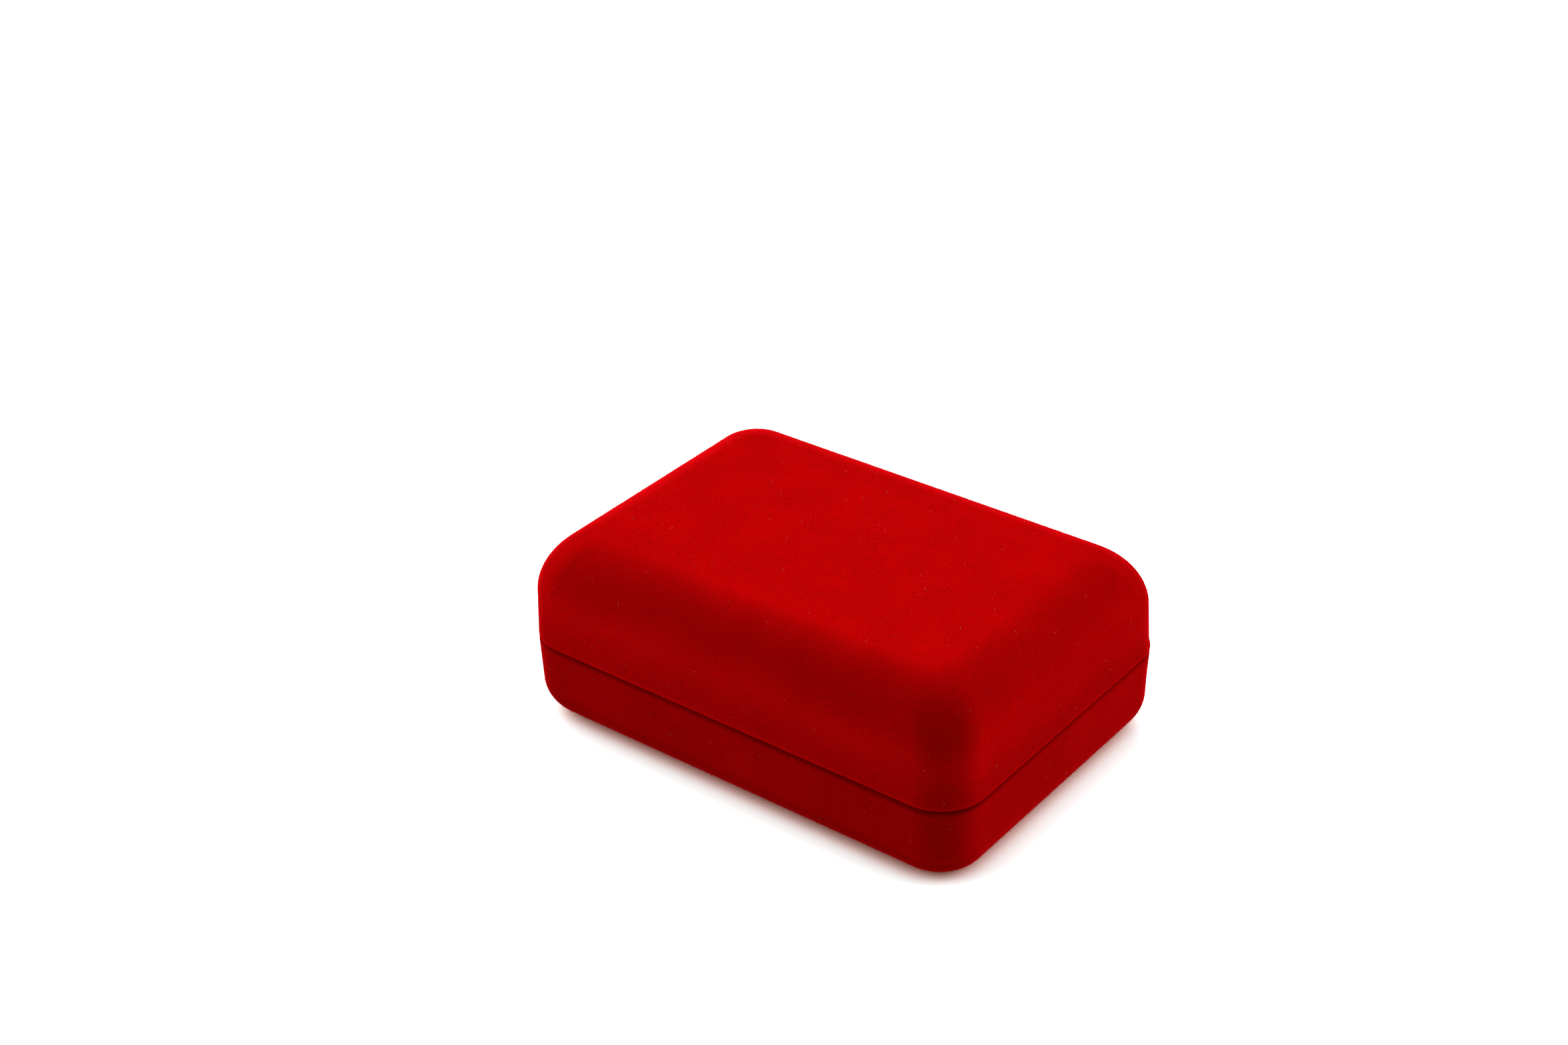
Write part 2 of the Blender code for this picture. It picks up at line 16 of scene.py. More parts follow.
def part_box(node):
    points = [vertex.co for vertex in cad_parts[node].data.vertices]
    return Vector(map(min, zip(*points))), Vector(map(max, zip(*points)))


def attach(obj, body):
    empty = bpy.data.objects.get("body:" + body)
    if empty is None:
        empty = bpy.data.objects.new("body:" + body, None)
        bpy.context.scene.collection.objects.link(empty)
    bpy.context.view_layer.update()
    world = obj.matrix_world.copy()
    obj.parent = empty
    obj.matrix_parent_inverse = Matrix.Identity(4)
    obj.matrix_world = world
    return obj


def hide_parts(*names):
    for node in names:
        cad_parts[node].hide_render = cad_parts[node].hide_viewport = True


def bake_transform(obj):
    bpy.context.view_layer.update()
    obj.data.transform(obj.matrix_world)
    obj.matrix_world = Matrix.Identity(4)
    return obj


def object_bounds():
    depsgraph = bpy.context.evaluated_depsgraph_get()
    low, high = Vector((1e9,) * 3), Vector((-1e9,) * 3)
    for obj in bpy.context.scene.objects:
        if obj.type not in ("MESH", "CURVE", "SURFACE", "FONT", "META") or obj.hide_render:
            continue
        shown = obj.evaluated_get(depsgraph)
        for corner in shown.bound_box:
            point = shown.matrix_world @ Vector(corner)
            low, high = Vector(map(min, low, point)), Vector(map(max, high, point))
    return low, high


MM = 0.001
hair = 0.001 * MM  # points closer together than this are one point

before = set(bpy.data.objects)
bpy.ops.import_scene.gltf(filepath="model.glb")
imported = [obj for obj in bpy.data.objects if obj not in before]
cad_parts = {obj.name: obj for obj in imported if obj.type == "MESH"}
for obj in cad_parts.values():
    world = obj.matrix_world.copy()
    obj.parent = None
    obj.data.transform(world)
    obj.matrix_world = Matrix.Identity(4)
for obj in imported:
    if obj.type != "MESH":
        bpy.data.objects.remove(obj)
cad_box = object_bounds()


# The two halves
# Each half is one moulding of polystyrene with drafted walls, a rounded closed end and a rim that the
# other half meets. The lid is the deeper one, with a crowned top. A channel moulded inside the back
# wall of each half grips the edges of the hinge's leaf.


class Field:
    """A number in a node tree. Python's signs on it add Math nodes to that tree."""

    def __init__(self, socket):
        self.socket = socket
        self.tree = socket.id_data

    def math(self, operation, *others):
        node = self.tree.nodes.new("ShaderNodeMath")
        node.operation = operation
        for slot, value in zip(node.inputs, (self, *others)):
            plug(value, slot)
        return Field(node.outputs[0])

    def __add__(self, other):
        return self.math("ADD", other)

    def __sub__(self, other):
        return self.math("SUBTRACT", other)

    def __mul__(self, other):
        return self.math("MULTIPLY", other)

    def __truediv__(self, other):
        return self.math("DIVIDE", other)


def plug(value, slot):
    if isinstance(value, Field):
        value.tree.links.new(value.socket, slot)
    elif isinstance(value, bpy.types.NodeSocket):
        value.id_data.links.new(value, slot)
    else:
        slot.default_value = value


def add_node(tree, kind, inputs=(), **settings):
    """A new node with its settings made and its inputs plugged, by name or by number."""
    node = tree.nodes.new(kind)
    for key, value in settings.items():
        setattr(node, key, value)
    for key, value in dict(inputs).items():
        plug(value, node.inputs[key])
    return node


def new_tree(name, kind, inputs, outputs):
    """A node tree with named inputs and outputs, and its group input and output nodes.

    A socket is given by its value, or by its kind where it has none.
    """
    tree = bpy.data.node_groups.new(name, kind)
    kinds = {int: "Int", float: "Float", tuple: "Color"}
    for side, sockets in (("INPUT", inputs), ("OUTPUT", outputs)):
        for label, value in sockets.items():
            socket_type = "NodeSocket" + (value if isinstance(value, str) else kinds[type(value)])
            socket = tree.interface.new_socket(name=label, in_out=side, socket_type=socket_type)
            if not isinstance(value, str):
                socket.default_value = value
    return tree, tree.nodes.new("NodeGroupInput"), tree.nodes.new("NodeGroupOutput")


def grow(obj, tree, values):
    """Runs a Geometry Nodes tree on an object and leaves it as that plain mesh."""
    modifier = obj.modifiers.new(tree.name, "NODES")
    modifier.node_group = tree
    for socket in tree.interface.items_tree:
        if socket.in_out == "INPUT" and socket.name in values:
            modifier[socket.identifier] = values[socket.name]
    return settle(obj)


def settle(obj):
    """Puts what an object's modifiers make in its own mesh, and removes them."""
    evaluated = obj.evaluated_get(bpy.context.evaluated_depsgraph_get())
    mesh = bpy.data.meshes.new_from_object(evaluated)
    mesh.materials.clear()
    obj.modifiers.clear()
    obj.data = mesh
    mesh.name = obj.name
    return obj


def add_piece(name, data):
    obj = bpy.data.objects.new(name, data)
    bpy.context.scene.collection.objects.link(obj)
    return obj


def plain_mesh(name, points, edges=(), faces=()):
    mesh = bpy.data.meshes.new(name)
    mesh.from_pydata([tuple(p) for p in points], list(edges), list(faces))
    return mesh


def turn_outwards(mesh, sharp=math.radians(32)):
    """Merges doubles, turns faces outwards and shades all but sharp edges smooth."""
    bm = bmesh.new()
    bm.from_mesh(mesh)
    bmesh.ops.remove_doubles(bm, verts=bm.verts, dist=hair)
    bmesh.ops.recalc_face_normals(bm, faces=bm.faces)
    bm.to_mesh(mesh)
    bm.free()
    mesh.shade_smooth()
    mesh.set_sharp_from_angle(angle=sharp)


def carve(obj, operation, tool):
    """Cuts or joins a helper object, which is then removed."""
    modifier = obj.modifiers.new(operation.lower(), "BOOLEAN")
    modifier.operation = operation
    modifier.solver = "EXACT"
    modifier.object = tool
    settle(obj)
    bpy.data.objects.remove(tool)
    return obj


def block(low, high):
    """A helper box between two corners."""
    low, high = Vector(low), Vector(high)
    bm = bmesh.new()
    bmesh.ops.create_cube(bm, size=1.0)
    bmesh.ops.scale(bm, vec=high - low, verts=bm.verts)
    bmesh.ops.translate(bm, vec=(high + low) / 2, verts=bm.verts)
    mesh = bpy.data.meshes.new("block")
    bm.to_mesh(mesh)
    bm.free()
    return add_piece("block", mesh)


box_half_length = (cad_box[1].x - cad_box[0].x) / 2
box_half_depth = -cad_box[0].y
rim_corner = 7.8 * MM
wall = 2.0 * MM
least_corner = 1.0 * MM

base_low, base_rim = (corner.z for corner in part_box("base_shell"))
lid_rim, lid_top = (corner.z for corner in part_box("lid_shell"))
seam = (base_rim + lid_rim) / 2

base_form = dict(
    height=base_rim - base_low, draft=1.4, round_in=6.2 * MM, round_end=6.2 * MM, power=2.0,
    taper=0.66, crown=0.0, lip=0.35 * MM, lip_reach=6.5 * MM, edge=0.6 * MM, side=-1, rim=base_rim,
)
lid_form = dict(
    height=lid_top - lid_rim, draft=2.35, round_in=9.76 * MM, round_end=9.81 * MM, power=1.9,
    taper=0.44, crown=0.5 * MM, lip=0.5 * MM, lip_reach=2.2 * MM, edge=0.28 * MM, side=1, rim=lid_rim,
)


crown_steps, crown_crowding = 14, 1.6
wall_steps, rim_steps, inner_rim_steps, corner_steps = 12, 7, 5, 18


def straight_wall(form):
    """The height of the drafted wall, and how far it has come in at its end."""
    height = form["height"] - form["crown"] - form["round_end"]
    return height, height * math.tan(math.radians(form["draft"]))


def round_over(form, angle, less=0.0):
    """How far in and up the rounded edge has come, on a curve smaller all round by `less`."""
    power = 2.0 / form["power"]
    inward = (form["round_in"] - less) * (1.0 - max(0.0, math.cos(angle)) ** power)
    return inward, (form["round_end"] - less) * math.sin(angle) ** power


def outer_profile(form, steps=26):
    """(inset, corner radius, height, lip) from the middle of the closed end to the rim."""
    height, start = straight_wall(form)
    shoulder = start + form["round_in"]
    rows = []
    for share in np.linspace(1.0, 0.0, crown_steps)[:-1] ** crown_crowding:
        rise = form["crown"] * (1.0 - (1.0 - share) ** 2)
        rows.append((shoulder + share * (box_half_depth - shoulder), height + form["round_end"] + rise))
    for angle in np.linspace(math.pi / 2, 0.0, steps):
        inward, up = round_over(form, angle)
        rows.append((start + inward, height + up))
    for up in np.linspace(height, form["edge"], wall_steps)[1:]:
        rows.append((up * math.tan(math.radians(form["draft"])), up))
    for angle in np.linspace(math.pi / 2, 0.0, rim_steps)[1:]:
        rows.append((form["edge"] * (1.0 - math.sin(angle)), form["edge"] * (1.0 - math.cos(angle))))
    finished = []
    for inset, up in rows:
        left = max(0.0, 1.0 - up / form["lip_reach"])
        corner = max(rim_corner - form["taper"] * inset, wall)
        finished.append((inset, corner, up, form["lip"] * left * left))
    return finished


def inner_profile(form, depth=wall, steps=20):
    """The same for a face that lies `depth` in from the outside, from the rim to the middle."""
    height, start = straight_wall(form)
    edge = form["edge"] / 2
    rows = []
    for angle in np.linspace(0.0, math.pi / 2, inner_rim_steps):
        inset = depth - edge * (1.0 - math.sin(angle))
        rows.append((inset, rim_corner - inset, edge * (1.0 - math.cos(angle)), 0.0))
    for angle in np.linspace(0.0, math.pi / 2, steps):
        outer = start + round_over(form, angle)[0]
        inward, up = round_over(form, angle, depth)
        corner = rim_corner - form["taper"] * outer - depth * math.cos(angle)
        rows.append((depth + start + inward, max(corner, least_corner), height + up, 0.0))
    rows.append((box_half_depth, least_corner, rows[-1][2], 0.0))
    return rows


def round_tree():
    """Carries a profile round a rounded rectangle.

    A profile point holds its inset from the rim's outline, its corner radius and its height, and its
    shift at the back as the attribute back_lip.
    """
    inputs = {"Profile": "Geometry", "Half Length": 0.04, "Half Depth": 0.03, "Corner Steps": 8}
    tree, given, made = new_tree("shell_round", "GeometryNodeTree", inputs, {"Shell": "Geometry"})
    profile = given.outputs["Profile"]
    rows = Field(add_node(tree, "GeometryNodeAttributeDomainSize", {0: profile}).outputs[0])
    steps = Field(given.outputs["Corner Steps"])
    in_corner = steps + 1.0
    counts = {"Size X": 1.0, "Size Y": 1.0, "Vertices X": in_corner * 4.0 + 1.0, "Vertices Y": rows}
    grid = add_node(tree, "GeometryNodeMeshGrid", counts).outputs["Mesh"]

    index = Field(add_node(tree, "GeometryNodeInputIndex").outputs[0])
    column = ((index + 0.5) / rows).math("FLOOR")
    row = index - column * rows
    corner = ((column + 0.5) / in_corner).math("FLOOR")
    turn = (column - corner * in_corner) / steps
    angle = (corner - 1.0 + turn) * (math.pi / 2)
    facing = (corner - 0.5) * (math.pi / 2)
    side_x = facing.math("COSINE").math("SIGN")
    side_y = facing.math("SINE").math("SIGN")

    def at_row(value, data_type):
        wanted = {"Geometry": profile, "Value": value, "Index": row}
        return add_node(tree, "GeometryNodeSampleIndex", wanted, data_type=data_type).outputs[0]

    place = at_row(add_node(tree, "GeometryNodeInputPosition").outputs[0], "FLOAT_VECTOR")
    parts = add_node(tree, "ShaderNodeSeparateXYZ", {0: place}).outputs
    inset, radius, height = (Field(part) for part in parts)
    lip = add_node(tree, "GeometryNodeInputNamedAttribute", {"Name": "back_lip"}).outputs[0]
    shift = Field(at_row(lip, "FLOAT")) * side_y.math("MAXIMUM", 0.0)
    half_x = Field(given.outputs["Half Length"]) - inset
    half_y = Field(given.outputs["Half Depth"]) - inset
    radius = radius.math("MINIMUM", half_x).math("MINIMUM", half_y)
    x = side_x * (half_x - radius) + radius * angle.math("COSINE")
    y = side_y * (half_y - radius) + radius * angle.math("SINE") + shift
    point = add_node(tree, "ShaderNodeCombineXYZ", {0: x, 1: y, 2: height}).outputs[0]
    moved = add_node(tree, "GeometryNodeSetPosition", {"Geometry": grid, "Position": point})
    joined = add_node(tree, "GeometryNodeMergeByDistance", {0: moved.outputs[0]})
    joined.inputs["Distance"].default_value = hair
    tree.links.new(joined.outputs[0], made.inputs[0])
    return tree


shell_round = round_tree()


def go_round(name, rows, form):
    """A closed solid from a profile, with its heights measured from the half's rim."""
    points = [(inset, corner, form["rim"] + form["side"] * up) for inset, corner, up, _ in rows]
    mesh = plain_mesh(name, points, [(i, i + 1) for i in range(len(points) - 1)])
    lips = mesh.attributes.new("back_lip", "FLOAT", "POINT")
    lips.data.foreach_set("value", [lip for _, _, _, lip in rows])
    sizes = {"Half Length": box_half_length, "Half Depth": box_half_depth}
    sizes["Corner Steps"] = corner_steps
    obj = grow(add_piece(name, mesh), shell_round, sizes)
    turn_outwards(obj.data)
    return obj


leaf_low, leaf_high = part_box("hinge_leaf_base")
play = 0.3 * MM
leaf_half = leaf_high.x
leaf_front, leaf_back = box_half_depth - 2.15 * MM, box_half_depth - 1.65 * MM
leaf_reach = seam - leaf_low.z
seat_wall, seat_side, seat_depth = 1.4 * MM, 1.6 * MM, 2.0 * MM
window_margin, notch_depth = 2.0 * MM, 1.65 * MM
seat_front = leaf_front - play - seat_wall


def make_half(name, form):
    """A half shell with its hinge seat joined in, and the leaf's slot and the rim's notch cut."""
    half = go_round(name, outer_profile(form) + inner_profile(form), form)
    side = form["side"]

    def across(half_width, y_range, depths):
        levels = sorted(seam + side * depth for depth in depths)
        return block((-half_width, y_range[0], levels[0]), (half_width, y_range[1], levels[1]))

    mouth = [(box_half_depth, least_corner, 0.0, 0.0)]
    core = go_round("core", mouth + inner_profile(form, wall / 2), form)
    seat_y = (seat_front, box_half_depth)
    seat = across(leaf_half + play + seat_side, seat_y, (seat_depth, form["height"]))
    carve(seat, "INTERSECT", core)
    carve(half, "UNION", seat)
    slot_y = (leaf_front - play, leaf_back + play)
    carve(half, "DIFFERENCE", across(leaf_half + play, slot_y, (-wall, leaf_reach + play)))
    window_y = (seat_front - wall, leaf_front)
    carve(half, "DIFFERENCE", across(leaf_half - window_margin, window_y, (-wall, leaf_reach)))
    notch_y = (leaf_back, box_half_depth + 2 * wall)
    carve(half, "DIFFERENCE", across(leaf_half + play, notch_y, (-wall, notch_depth)))
    turn_outwards(half.data)
    return half


base_half = make_half("base_half", base_form)
lid_half = make_half("lid_half", lid_form)


# The flock
# Short red nylon fibres stand on glue all over both halves, inside and out. The pile is dark where
# one looks down into it and glows where one looks across it. Where its fibres lean another way it is
# mottled. It also carries painted light and shade: a painted light band round the lid, a painted
# highlight along the lid's rim, painted light at the base's foot, painted shade at the base's rim, and
# the base's back and right sides painted lighter and its front and left darker.

patch_depth = 0.28


def noise_scale(tree, size):
    """The scale of a noise whose lumps have a size in mm."""
    size = Field(size) * MM
    return Field(add_node(tree, "ShaderNodeMath", {0: 1.0, 1: size}, operation="DIVIDE").outputs[0])


def scaled(tree, colour, share):
    """A colour made lighter or darker by a share."""
    node = add_node(tree, "ShaderNodeVectorMath", {0: colour, "Scale": share}, operation="SCALE")
    return node.outputs[0]


def add_bump(shader, height, strength, distance):
    bump = {"Height": height, "Strength": strength, "Distance": distance}
    plug(add_node(shader.id_data, "ShaderNodeBump", bump).outputs[0], shader.inputs["Normal"])


def pile_group():
    """The mottling and grain of a pile, as a colour and as a height for a bump.

    It also carries painted light and shade: lighter or darker in a band and an edge, each at a height,
    and on the sides given as lit. The band lies lower at the right.
    """
    inputs = {
        "Colour": (0.4, 0.0, 0.0, 1.0), "Grain Size": 0.32, "Patch Size": 8.0, "Depth": 0.6,
        "Band Height": 0.0, "Band Width": 3.6 * MM, "Band": 0.0, "Lit Right": 0.0, "Lit Back": 0.0,
        "Edge Height": 0.0, "Edge Width": 0.3 * MM, "Edge": 0.0, "Drop Right": 0.0,
    }
    outputs = {"Colour": (0.0, 0.0, 0.0, 1.0), "Height": 0.0}
    tree, given, made = new_tree("pile", "ShaderNodeTree", inputs, outputs)
    coordinates = add_node(tree, "ShaderNodeTexCoord").outputs
    place = coordinates["Object"]

    def noise(size, detail):
        inputs = {"Vector": place, "Scale": noise_scale(tree, given.outputs[size]), "Detail": detail}
        return Field(add_node(tree, "ShaderNodeTexNoise", inputs).outputs["Fac"])

    grain = noise("Grain Size", 2.0)
    patch = noise("Patch Size", 4.0)
    share = (grain - 0.5) * Field(given.outputs["Depth"]) + (patch - 0.5) * patch_depth + 1.0
    normal = add_node(tree, "ShaderNodeSeparateXYZ", {0: coordinates["Normal"]}).outputs
    height = Field(add_node(tree, "ShaderNodeSeparateXYZ", {0: place}).outputs[2])
    lower = height + Field(normal[0]) * Field(given.outputs["Drop Right"])
    # The band and the edge are painted light or shade at a height.
    for line, level in (("Band", lower), ("Edge", height)):
        apart = (level - Field(given.outputs[line + " Height"])) / Field(given.outputs[line + " Width"])
        bell = (apart * apart * -1.0).math("EXPONENT")
        share = share * (bell * Field(given.outputs[line]) + 1.0)
    # Painted light by side: the sides facing right and back lighter, the others darker.
    painted_side_light = Field(normal[0]) * Field(given.outputs["Lit Right"])
    painted_side_light = painted_side_light + Field(normal[1]) * Field(given.outputs["Lit Back"])
    share = share * (painted_side_light + 1.0)
    plug(scaled(tree, given.outputs["Colour"], share), made.inputs["Colour"])
    plug(grain, made.inputs["Height"])
    return tree


pile = pile_group()


def shaded(name, constants):
    """A new material and its shader, with the shader's constant sockets set."""
    material = bpy.data.materials.new(name)
    material.use_nodes = True
    shader = material.node_tree.nodes["Principled BSDF"]
    for key, value in constants.items():
        shader.inputs[key].default_value = value
    return material, shader


def set_stops(ramp, stops):
    """Gives a new ramp, which has two stops, all of its stops."""
    for _ in stops[2:]:
        ramp.elements.new(0.5)
    for stop, (place, colour) in zip(ramp.elements, stops):
        stop.position = place
        stop.color = (*colour, 1.0)


def pile_material(name, stops, bump, **values):
    """A pile with its colours from where one looks straight down into it to where one looks across.

    `values` are the pile group's own inputs.
    """
    material, shader = shaded(name, {"Roughness": 1.0, "Specular IOR Level": 0.0})
    tree = material.node_tree
    group = add_node(tree, "ShaderNodeGroup", node_tree=pile)
    for key, value in values.items():
        group.inputs[key.replace("_", " ").title()].default_value = value
    facing = add_node(tree, "ShaderNodeLayerWeight", {"Blend": 0.5}).outputs["Facing"]
    sheen = add_node(tree, "ShaderNodeValToRGB", {0: facing})
    set_stops(sheen.color_ramp, stops)
    plug(sheen.outputs[0], group.inputs["Colour"])
    plug(group.outputs["Colour"], shader.inputs["Base Color"])
    add_bump(shader, group.outputs["Height"], bump, 0.09 * MM)
    return material


flock_stops = [
    (0.05, (0.29, 0.0005, 0.0005)),
    (0.4, (0.53, 0.0008, 0.0012)),
    (0.5, (0.54, 0.0008, 0.0014)),
    (0.58, (0.52, 0.0010, 0.0016)),
    (0.8, (0.74, 0.002, 0.004)),
    (1.0, (0.92, 0.006, 0.010)),
]
flock_bump = 0.5
# The base's pile: painted shade along its rim under the lid's rim, painted light at its foot from the table,
# and painted light and shade by side.
painted_rim_shade = {"edge_height": base_rim - 0.05 * MM, "edge_width": 0.5 * MM, "edge": -0.34}
painted_foot_light = {"band_height": 1.2 * MM, "band_width": 1.7 * MM, "band": 0.3}
painted_side_light = {"lit_right": 0.06, "lit_back": 0.13}
base_flock = pile_material("base_pile", flock_stops, flock_bump, **painted_rim_shade, **painted_foot_light, **painted_side_light)
# The lid's pile: a painted highlight along its rim, and a painted light band where its wall meets the
# shoulder.
painted_rim_highlight = {"edge_height": lid_rim + 0.35 * MM, "edge_width": 0.3 * MM, "edge": 0.22}
painted_light_band = {"band_height": 22.6 * MM, "band": 0.2, "drop_right": 1.4 * MM}
lid_flock = pile_material("lid_pile", flock_stops, flock_bump, **painted_rim_highlight, **painted_light_band)


bare_rim, bare_foot = 0.7 * MM, 0.4 * MM
shortest, longest = 0.6, 1.2


def nap_tree():
    """Fibres that stand on the outside of a half, away from its rim and its foot."""
    inputs = {
        "Half": "Geometry", "Density": 5.0e6, "Length": 0.4 * MM, "Thickness": 0.03 * MM, "Sunk": 0.1 * MM,
        "Lean": 0.6, "Rim Height": 0.0, "Seed": 1, "Finish": "Material",
    }
    tree, given, made = new_tree("nap", "GeometryNodeTree", inputs, {"Nap": "Geometry"})
    half, seed, rim = given.outputs["Half"], given.outputs["Seed"], given.outputs["Rim Height"]
    length, thickness = given.outputs["Length"], Field(given.outputs["Thickness"])
    place = add_node(tree, "GeometryNodeInputPosition").outputs[0]
    normal = add_node(tree, "GeometryNodeInputNormal").outputs[0]

    def vectors(operation, first, second, output="Vector"):
        node = add_node(tree, "ShaderNodeVectorMath", {0: first, 1: second}, operation=operation)
        return node.outputs[output]

    lift, across_box = 0.05 * MM, 0.2
    lifted = vectors("ADD", place, vectors("MULTIPLY", normal, (lift, lift, lift)))
    ray = {"Target Geometry": half, "Source Position": lifted, "Ray Direction": normal}
    ray["Ray Length"] = across_box
    covered = Field(add_node(tree, "GeometryNodeRaycast", ray).outputs["Is Hit"])
    centre = add_node(tree, "ShaderNodeCombineXYZ", {2: rim}).outputs[0]
    outwards = Field(vectors("DOT_PRODUCT", vectors("SUBTRACT", place, centre), normal, "Value"))
    height = Field(add_node(tree, "ShaderNodeSeparateXYZ", {0: place}).outputs[2])
    chosen = outwards.math("GREATER_THAN", 0.0) - covered
    chosen = chosen * (height - Field(rim)).math("ABSOLUTE").math("GREATER_THAN", bare_rim)
    chosen = chosen * height.math("GREATER_THAN", bare_foot)
    spread = {"Mesh": half, "Selection": chosen.math("GREATER_THAN", 0.5)}
    spread.update({"Density": given.outputs["Density"], "Seed": seed})
    points = add_node(tree, "GeometryNodeDistributePointsOnFaces", spread).outputs

    def chance(low, high, more):
        """A number between two for each fibre, from a seed of its own."""
        node = add_node(tree, "FunctionNodeRandomValue", data_type="FLOAT")
        for key, value in (("Min", low), ("Max", high), ("Seed", Field(seed) + more)):
            slots = [slot for slot in node.inputs if slot.name == key and slot.enabled]
            plug(value, slots[0])
        return [slot for slot in node.outputs if slot.enabled][0]

    lean = given.outputs["Lean"]
    euler = {0: chance(Field(lean) * -1.0, lean, 1.0), 2: chance(0.0, 2 * math.pi, 2.0)}
    euler = add_node(tree, "ShaderNodeCombineXYZ", euler).outputs[0]
    turn = add_node(tree, "FunctionNodeEulerToRotation", {0: euler}).outputs[0]
    turned = {"Rotation": points["Rotation"], "Rotate By": turn}
    turned = add_node(tree, "FunctionNodeRotateRotation", turned, rotation_space="LOCAL").outputs[0]
    fibre = {"Vertices": 3, "Radius Top": 0.0, "Radius Bottom": thickness / 2.0, "Depth": length}
    fibre = add_node(tree, "GeometryNodeMeshCone", fibre).outputs["Mesh"]
    sunk = add_node(tree, "ShaderNodeCombineXYZ", {2: Field(given.outputs["Sunk"]) * -1.0}).outputs[0]
    fibre = add_node(tree, "GeometryNodeTransform", {"Geometry": fibre, "Translation": sunk}).outputs[0]
    stood = {"Points": points["Points"], "Instance": fibre, "Rotation": turned}
    stood["Scale"] = chance(shortest, longest, 3.0)
    stood = add_node(tree, "GeometryNodeInstanceOnPoints", stood).outputs[0]
    real = add_node(tree, "GeometryNodeRealizeInstances", {0: stood}).outputs[0]
    finished = {"Geometry": real, "Material": given.outputs["Finish"]}
    plug(add_node(tree, "GeometryNodeSetMaterial", finished).outputs[0], made.inputs["Nap"])
    return tree


nap = nap_tree()
pale = {"Base Color": (0.72, 0.20, 0.18, 1.0), "Roughness": 1.0, "Specular IOR Level": 0.0}
lint, _ = shaded("pale_lint", pale)
fibres = {"Density": 4.6e6, "Length": 0.38 * MM, "Thickness": 0.05 * MM, "Sunk": 0.1 * MM, "Lean": 0.75}
strays = {"Density": 1.6e4, "Length": 0.55 * MM, "Thickness": 0.07 * MM, "Sunk": 0.05 * MM, "Lean": 1.4}
for half, body, node, flock, seed in (
    (base_half, "base", "base_shell", base_flock, 4), (lid_half, "lid", "lid_shell", lid_flock, 9)
):
    pieces = [half]
    for name, finish, sizes in (("nap", flock, fibres), ("lint", lint, strays)):
        sizes = {"Rim Height": seam, "Seed": seed, "Finish": finish, **sizes}
        pieces.append(grow(add_piece(body + "_" + name, half.data.copy()), nap, sizes))
        pieces[-1].data.shade_smooth()
        pieces[-1].data.materials.append(finish)
    half.data.materials.append(flock)
    for piece in pieces:
        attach(piece, body)
        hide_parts(node)


# The hinge's leaves
# Two stampings of nickel-plated steel sheet. Each is bent outwards and curled into knuckles that take
# turns on the pin, and a tongue lanced out of its leg makes a hook for the spring. The legs are
# pushed into the halves' channels.

hinge_y = box_half_depth + 0.65 * MM
hinge_line = Vector((0.0, hinge_y, seam))

# The leaves are drawn in mm and degrees, about the hinge line
leaf_leg = leaf_reach / MM
leaf_side = leaf_half / MM
leg_y, bend, curl, curl_turn, leaf_sheet, leaf_softened = -2.55, 0.8, 0.9, 290, 0.5, 0.07
shoulder_rise, knuckle_half, knuckle_play = 0.3, 5.0, 0.15
tip_corner, notch_corner, foot_corner = 0.3, 0.4, 0.9
hook_depth, hook_root, hook_lip_y, hook_tip, hook_bend = 6.05, 0.55, -4.0, 7.6, 0.3
tongue_half, tongue_corner, tongue_thinner = 1.65, 0.5, 0.02
window_half, window_below, window_above, window_corner = 1.75, 0.25, 2.05, 0.25


def arc(centre, radius, start, end, steps):
    """Points on an arc in Y and Z, from one angle to another in degrees."""
    turns = np.radians(np.linspace(start, end, steps))
    return [(centre[0] + radius * math.cos(t), centre[1] + radius * math.sin(t)) for t in turns]


def rounded(corners, steps=6):
    """An outline from square corners, each given as its place and its rounding."""
    points = []
    for i, (x, y, radius) in enumerate(corners):
        corner = Vector((x, y))
        back = (Vector(corners[i - 1][:2]) - corner).normalized() * radius
        on = (Vector(corners[(i + 1) % len(corners)][:2]) - corner).normalized() * radius
        for turn in np.linspace(0.0, math.pi / 2, steps) if radius else (0.0,):
            points.append(corner + back * (1.0 - math.sin(turn)) + on * (1.0 - math.cos(turn)))
    return points


def slot_in(half_width, low, high, radius):
    """A rounded hole across the middle of a sheet."""
    x = half_width
    return rounded([(-x, low, radius), (x, low, radius), (x, high, radius), (-x, high, radius)])


def path_length(path):
    return float(np.hypot(*np.diff(np.array(path), axis=0).T).sum())


